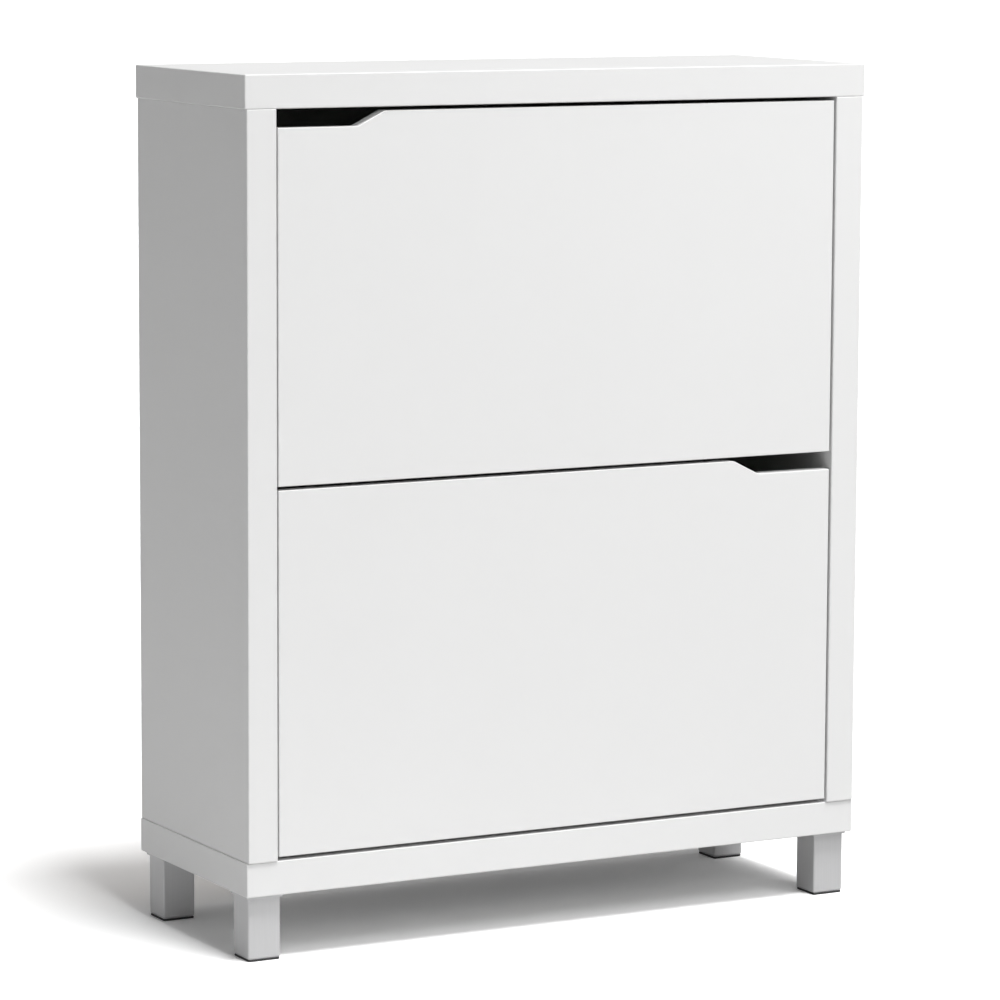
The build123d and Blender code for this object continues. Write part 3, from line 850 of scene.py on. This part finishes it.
@dataclass(frozen=True)
class Screw:
    """A pan-head screw with a cross recess, its seat at z 0 and its head above.

    From core on, each number is a share of the size that it scales.
    """

    head: float = 0.0038
    height: float = 0.0022
    shank: float = 0.00175
    length: float = 0.014
    thread: float = 0.0012
    tip: float = 0.0002
    point: float = 0.0012
    thread_start: float = 0.0016
    plain: float = 0.003
    neck: float = 0.0008
    dome_steps: int = 6
    count: int = 32
    core: float = 0.78
    point_width: float = 0.5
    crest: float = 0.4
    flank: float = 0.75
    rim: float = 0.35
    dome_turn: float = 0.92
    recess_reach: float = 0.6
    recess_width: float = 0.24
    recess_depth: float = 0.62
    recess_top: float = 0.93

    def shape(self) -> Shape:
        """Turns the head and the threaded shank, then cuts the cross.

        Returns:
            The screw.
        """
        root = self.shank * self.core
        outline = [(self.tip, -self.length), (root * self.point_width, -self.length + self.point)]
        turns = int((self.length - self.plain) / self.thread)
        for i in range(turns):
            z = -self.length + self.thread_start + i * self.thread
            crest, flank = z + self.thread * self.crest, z + self.thread * self.flank
            outline += [(root, z), (self.shank, crest), (root, flank)]
        outline += [(self.shank, -self.neck), (self.shank, 0.0)]
        outline += [(self.head, 0.0), (self.head, self.height * self.rim)]
        for step in range(1, self.dome_steps):
            angle = math.pi / 2 * step / self.dome_steps
            rise = self.height * (self.rim + (1 - self.rim) * math.sin(angle))
            outline.append((self.head * math.cos(angle * self.dome_turn), rise))
        reach, width = self.head * self.recess_reach, self.head * self.recess_width
        tool = cross_tool(reach, width, self.height * self.recess_depth, self.height)
        lifted = tool.copies([Matrix.Translation((0.0, 0.0, self.height * self.recess_top))])
        return turned(outline, self.count).minus(lifted)


@dataclass(frozen=True)
class CamLock:
    """A cam lock: a short drum with a rim, a cross recess and a mark that shows its way.

    From foot on, the sizes are shares of the radius.
    """

    radius: float = 0.0074
    depth: float = 0.012
    rim: float = 0.0009
    rim_slope: float = 0.0002
    hollow: float = 0.0004
    bevel: float = 0.0003
    foot_bevel: float = 0.0004
    cross_depth: float = 0.0028
    mark_depth: float = 0.0004
    above: float = 0.001
    count: int = 48
    foot: float = 0.96
    face: float = 0.5
    cross_reach: float = 0.52
    cross_width: float = 0.2
    mark: float = 0.1
    mark_out: float = 0.7

    def shape(self) -> Shape:
        """Turns the drum with its mouth at z 0, then cuts the cross and the mark.

        Returns:
            The lock.
        """
        inner = self.radius - self.rim
        outline = [
            (self.radius * self.foot, -self.depth),
            (self.radius, -self.depth + self.foot_bevel),
            (self.radius, -self.bevel),
            (self.radius - self.bevel, 0.0),
            (inner + self.rim_slope, 0.0),
            (inner, -self.hollow),
            (self.radius * self.face, -self.hollow),
        ]
        drum = turned(outline, self.count)
        reach, width = self.radius * self.cross_reach, self.radius * self.cross_width
        cross = cross_tool(reach, width, self.cross_depth, self.above)
        arm = self.radius * self.mark
        mark = cross_tool(arm, arm, self.mark_depth, self.above)
        down = Matrix.Translation((0.0, 0.0, -self.hollow))
        side = Matrix.Translation((self.radius * self.mark_out, 0.0, -self.hollow))
        return drum.minus(cross.copies([down])).minus(mark.copies([side]))


@dataclass(frozen=True)
class Joinery:
    """The fittings that hold the carcass together."""

    cam_y: tuple[float, float] = (-0.095, 0.092)
    cam_z: tuple[float, float] = (0.822, 0.137)
    rail_cam: Triple = (0.2915, 0.1135, 0.4795)
    side_spin: float = 17.0
    rail_spin: float = 31.0

    def build(self) -> None:
        """Makes the cam locks and dresses the rest."""
        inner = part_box("right_side_panel")[0].x
        places = []
        for side in Side:
            facing = Facing.LEFT if side is Side.RIGHT else Facing.RIGHT
            for i, y in enumerate(self.cam_y):
                for j, z in enumerate(self.cam_z):
                    places.append(pose_at((side.value * inner, y, z), facing, self.side_spin * (i + 2 * j)))
            x, y, z = self.rail_cam
            places.append(pose_at((side.value * x, y, z), Facing.FRONT, self.rail_spin))
        CamLock().shape().copies(places).piece("cam_locks", "cabinet", ZINC_STEEL)
        for node in ("cam_bolts", "leg_studs"):
            dress(node, ZINC_STEEL)
        dress("dowels", BEECH_WOOD)
        dress("threaded_inserts", BRASS)


@dataclass(frozen=True)
class WallFixing:
    """The two angles at the back that hold the cabinet to a wall."""

    x: float = 0.25
    screw_y: tuple[float, float] = (0.107, 0.119)
    spins: tuple[float, float] = (25.0, 65.0)

    def build(self) -> None:
        """Dresses the angles and makes their screws."""
        dress("wall_brackets", ZINC_STEEL)
        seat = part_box("wall_bracket_screws")[0].z + Screw().height
        places = []
        for side in Side:
            for y, spin in zip(self.screw_y, self.spins):
                places.append(pose_at((side.value * self.x, y, seat), Facing.DOWN, spin))
        Screw().shape().copies(places).piece("wall_bracket_screws", "cabinet", ZINC_STEEL)


@dataclass(frozen=True)
class TiltRack:
    """One door with the rack behind it, which tilts on two pins."""

    tier: Tier
    lacquer: Lacquer = WHITE_LACQUER
    screw_x: float = 0.305
    screw_up: tuple[float, ...] = (0.026, 0.09, 0.148, 0.256)
    spin: float = 37.0
    side_spin: float = 11.0

    def build(self) -> None:
        """Dresses the rack's boards and brackets and makes its screws."""
        name = self.tier.value
        dress(f"{name}_door", self.lacquer)
        for row in Row:
            for board in ("floor", "back"):
                dress(f"{name}_{row.value}_row_{board}", WHITE_BOARD)
        for side in Side:
            dress(f"{name}_{side.word}_bracket", GREY_PLASTIC)
            dress(f"{name}_{side.word}_pivot_bush", WHITE_PLASTIC)
            dress(f"{name}_{side.word}_stop_buffers", RUBBER)
            for part in ("pivot_pin", "stop_peg"):
                dress(f"{name}_{side.word}_{part}", ZINC_STEEL)
        self.build_screws()

    def pivot(self) -> Vector:
        """The middle of the hinge pin."""
        low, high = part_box(f"{self.tier.value}_right_pivot_pin")
        return (low + high) / 2

    def build_screws(self) -> None:
        """Makes the screws that hold the brackets to the door."""
        node = f"{self.tier.value}_rack_screws"
        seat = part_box(node)[1].y - Screw().height
        base = self.pivot().z
        places = []
        for side in Side:
            for i, up in enumerate(self.screw_up):
                spin = self.spin * i + self.side_spin * side.value
                places.append(pose_at((side.value * self.screw_x, seat, base + up), Facing.BACK, spin))
        Screw().shape().copies(places).piece(node, self.tier.body, ZINC_STEEL)


# The studio


@dataclass(frozen=True)
class Viewpoint:
    """The camera: where it stands, which way it looks, and its lens in millimetres."""

    place: Triple = (-2.2845, -4.196, 1.0801)
    heading: float = 28.544
    pitch: float = -7.712
    roll: float = 0.267
    lens: float = 165.0
    sensor: float = 36.0
    reach: float = 300.0

    def build(self) -> None:
        """Makes the camera and gives it to the scene."""
        heading, pitch, roll = (math.radians(v) for v in (self.heading, self.pitch, self.roll))
        level = math.cos(pitch)
        ahead = Vector((math.sin(heading) * level, math.cos(heading) * level, math.sin(pitch)))
        right = Vector((math.cos(heading), -math.sin(heading), 0.0))
        up = right.cross(ahead)
        across = right * math.cos(roll) + up * math.sin(roll)
        above = up * math.cos(roll) - right * math.sin(roll)
        data = bpy.data.cameras.new("camera")
        data.lens, data.sensor_width, data.clip_end = self.lens, self.sensor, self.reach
        camera = bpy.data.objects.new("camera", data)
        turn = Matrix((across, above, -ahead)).transposed().to_4x4()
        camera.matrix_world = Matrix.Translation(Vector(self.place)) @ turn
        bpy.context.scene.collection.objects.link(camera)
        bpy.context.scene.camera = camera


@dataclass(frozen=True)
class Lamp:
    """A distant lamp: how strong, how high, how far to the right and how wide, in degrees."""

    name: str
    strength: float
    height: float
    aside: float
    spread: float
    distance: float = 6.0

    def build(self) -> None:
        """Hangs the lamp, aimed at the cabinet."""
        height, aside = math.radians(self.height), math.radians(self.aside)
        level = math.cos(height)
        towards = Vector((math.sin(aside) * level, -math.cos(aside) * level, math.sin(height)))
        data = bpy.data.lights.new(self.name, "SUN")
        data.energy, data.angle = self.strength, math.radians(self.spread)
        hang(data, towards * self.distance, Vector())


def hang(data: bpy.types.Light, place: Vector, target: Vector) -> None:
    """Puts a light in the scene.

    Args:
        data: the light.
        place: where it hangs.
        target: the point that it is aimed at.
    """
    light = bpy.data.objects.new(data.name, data)
    light.location = place
    light.rotation_mode = "QUATERNION"
    light.rotation_quaternion = (target - place).to_track_quat("-Z", "Y")
    bpy.context.scene.collection.objects.link(light)


@dataclass(frozen=True)
class Studio:
    """A pale floor, a white room and soft light from the front."""

    floor_reach: float = 60.0
    floor_shown: float = 1.12
    bounce_near: float = 0.64
    bounce_far: float = 0.4
    bounce_middle: Triple = (-1.1, 0.35, 0.0)
    bounce_reach: tuple[float, float] = (0.4, 2.2)
    room: float = 0.229
    room_shown: float = 1.1
    lamps: tuple[Lamp, ...] = (
        Lamp("key", 2.26, 70.0, 10.0, 14.0),
        Lamp("low_front", 0.42, 25.0, 0.0, 20.0),
        Lamp("right", 0.76, 75.0, 60.0, 20.0),
        Lamp("over_back", 0.16, 80.0, 170.0, 25.0),
    )
    fill_power: float = 24.0
    fill_place: Triple = (1.3, -1.9, 2.1)
    fill_target: Triple = (0.1, -0.13, 0.6)
    fill_size: float = 0.9

    def build(self) -> None:
        """Lays the floor and sets up the lights."""
        self.build_floor()
        self.build_room()
        for lamp in self.lamps:
            lamp.build()
        self.build_fill()
        bpy.context.scene.view_settings.view_transform = "Standard"

    def build_floor(self) -> None:
        """Lays a large pale floor.

        It throws back less light than it shows, and from below it hides nothing above it.
        """
        shape, reach = Shape(), self.floor_reach
        corners = [(-reach, -reach), (reach, -reach), (reach, reach), (-reach, reach)]
        shape.mesh.faces.new([shape.mesh.verts.new((x, y, 0.0)) for x, y in corners])
        floor = shape.as_object("floor")
        material = bpy.data.materials.new("pale_floor")
        material.use_nodes = True
        paint = Paint(material.node_tree)
        seen = paint.node("ShaderNodeLightPath", out="Is Camera Ray")
        span = {0: paint.place(), 1: self.bounce_middle}
        away = paint.node("ShaderNodeVectorMath", {"operation": "DISTANCE"}, span, out="Value")
        thrown = paint.mix(away.rise(*self.bounce_reach), (self.bounce_near,) * 3, (self.bounce_far,) * 3)
        colour = paint.mix(seen, thrown, (self.floor_shown,) * 3)
        shader = paint.node("ShaderNodeBsdfDiffuse", inputs={"Color": colour})
        below = seen * paint.node("ShaderNodeNewGeometry", out="Backfacing")
        clear = paint.node("ShaderNodeBsdfTransparent")
        surface = paint.node("ShaderNodeMixShader", inputs={0: below, 1: shader, 2: clear})
        paint.node("ShaderNodeOutputMaterial", inputs={"Surface": surface})
        floor.data.materials.append(material)
        floor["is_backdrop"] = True

    def build_room(self) -> None:
        """Gives the room its white, which shows brighter than it lights."""
        world = bpy.data.worlds.new("room")
        world.use_nodes = True
        paint = Paint(world.node_tree)
        seen = paint.node("ShaderNodeLightPath", out="Is Camera Ray")
        strength = self.room + (self.room_shown - self.room) * seen
        white = (1.0, 1.0, 1.0, 1.0)
        light = paint.node("ShaderNodeBackground", inputs={"Color": white, "Strength": strength})
        paint.node("ShaderNodeOutputWorld", inputs={"Surface": light})
        bpy.context.scene.world = world

    def build_fill(self) -> None:
        """Makes the softer light near the upper right-hand corner."""
        data = bpy.data.lights.new("fill", "AREA")
        data.energy, data.size = self.fill_power, self.fill_size
        hang(data, Vector(self.fill_place), Vector(self.fill_target))


def write_sizes() -> None:
    """Works out the CAD model's box and the visual model's box, but keeps neither.
    """
    boxes = {"cad": CAD_BOX, "visual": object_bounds()}
    {name: [list(corner) for corner in box] for name, box in boxes.items()}


def main() -> None:
    """Builds the cabinet from its sub-assemblies, then the studio round it."""
    logging.basicConfig(level=logging.INFO, format="%(message)s")
    Carcass().build()
    for row in Row:
        for side in Side:
            Foot(side, row).build()
    Joinery().build()
    WallFixing().build()
    for tier in Tier:
        TiltRack(tier).build()
    Viewpoint().build()
    Studio().build()
    write_sizes()


if __name__ == "__main__":
    main()
